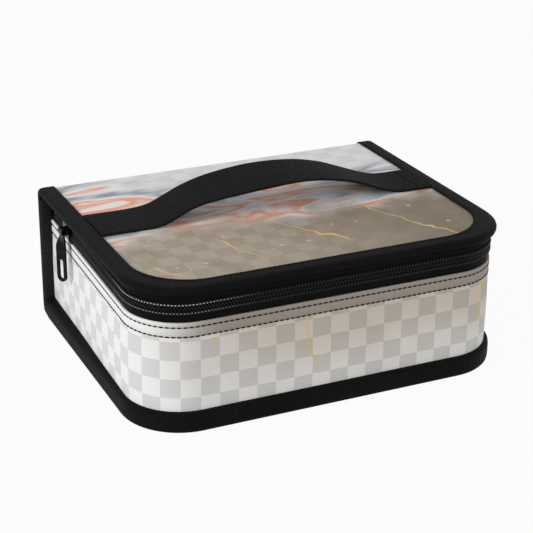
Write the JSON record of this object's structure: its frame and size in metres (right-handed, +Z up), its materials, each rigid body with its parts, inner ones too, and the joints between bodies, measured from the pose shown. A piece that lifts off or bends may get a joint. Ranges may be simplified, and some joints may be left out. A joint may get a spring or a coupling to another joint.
{
  "type": "makeup train case",
  "caption": "Soft-sided makeup case with a zip round the lid, bound edges, a padded wall, an arched webbing handle and padded dividers inside.",
  "frame": {"origin": "centre of the base's underside, on the surface that the case stands on", "axes": "+X to the right seen from the front, +Y to the back, where the lid is hinged, +Z up"},
  "size_m": [0.2605, 0.203, 0.1158],
  "materials": {
    "cover_print": "printed polyurethane leather, satin",
    "binding": "ribbed tape",
    "webbing": "twill webbing",
    "lining": "smooth lining cloth",
    "padding": "foam padding",
    "stiffener": "sheet",
    "zip_tape": "woven tape",
    "zip_coil": "coiled monofilament",
    "zip_metal": "black enamel",
    "divider_pad": "padded cloth"
  },
  "bodies": {
    "case": {"base_panel": "cover_print", "base_board": "stiffener", "base_lining": "lining", "base_binding": "binding", "spine_panel": "cover_print", "spine_board": "stiffener", "spine_lining": "lining", "spine_binding_left": "binding", "spine_binding_right": "binding", "wall_panel": "cover_print", "wall_foam": "padding", "wall_lining": "lining", "lower_zip_tape": "zip_tape", "lower_zip_coil": "zip_coil", "zip_end_stops": "zip_metal", "hinge_fold": "cover_print", "fold_binding_left": "binding", "fold_binding_right": "binding", "long_divider": "divider_pad"},
    "lid": {"lid_panel": "cover_print", "lid_board": "stiffener", "lid_lining": "lining", "lid_binding": "binding", "upper_zip_tape": "zip_tape", "upper_zip_coil": "zip_coil", "handle_strap": "webbing", "brush_panel": "lining", "brush_band": "binding"},
    "slider": {"zip_slider": "zip_metal"},
    "pull": {"zip_pull": "zip_metal"},
    "front_left": {"front_divider_left": "divider_pad"},
    "front_right": {"front_divider_right": "divider_pad"},
    "rear": {"rear_divider": "divider_pad"}
  },
  "joints": [
    {"name": "lid_hinge", "type": "hinge", "parent": "case", "child": "lid", "pos_m": [0, 0.0955, 0.091], "axis": [-1, 0, 0], "range_deg": [0, 115], "deforming": ["hinge_fold", "fold_binding_left", "fold_binding_right"]},
    {"name": "zip_slide", "type": "slide", "parent": "case", "child": "slider", "axis": [0.0297, 0.9996, 0], "range_m": [-0.104, 0.03]},
    {"name": "pull_swing", "type": "hinge", "parent": "slider", "child": "pull", "pos_m": [-0.12829, 0.05069, 0.082], "axis": [0.0297, 0.9996, 0], "range_deg": [-5, 120]},
    {"name": "front_left_shift", "type": "slide", "parent": "case", "child": "front_left", "axis": [1, 0, 0], "range_m": [-0.04, 0.034]},
    {"name": "front_right_shift", "type": "slide", "parent": "case", "child": "front_right", "axis": [1, 0, 0], "range_m": [-0.034, 0.04]},
    {"name": "rear_shift", "type": "slide", "parent": "case", "child": "rear", "axis": [1, 0, 0], "range_m": [-0.085, 0.085]}
  ]
}
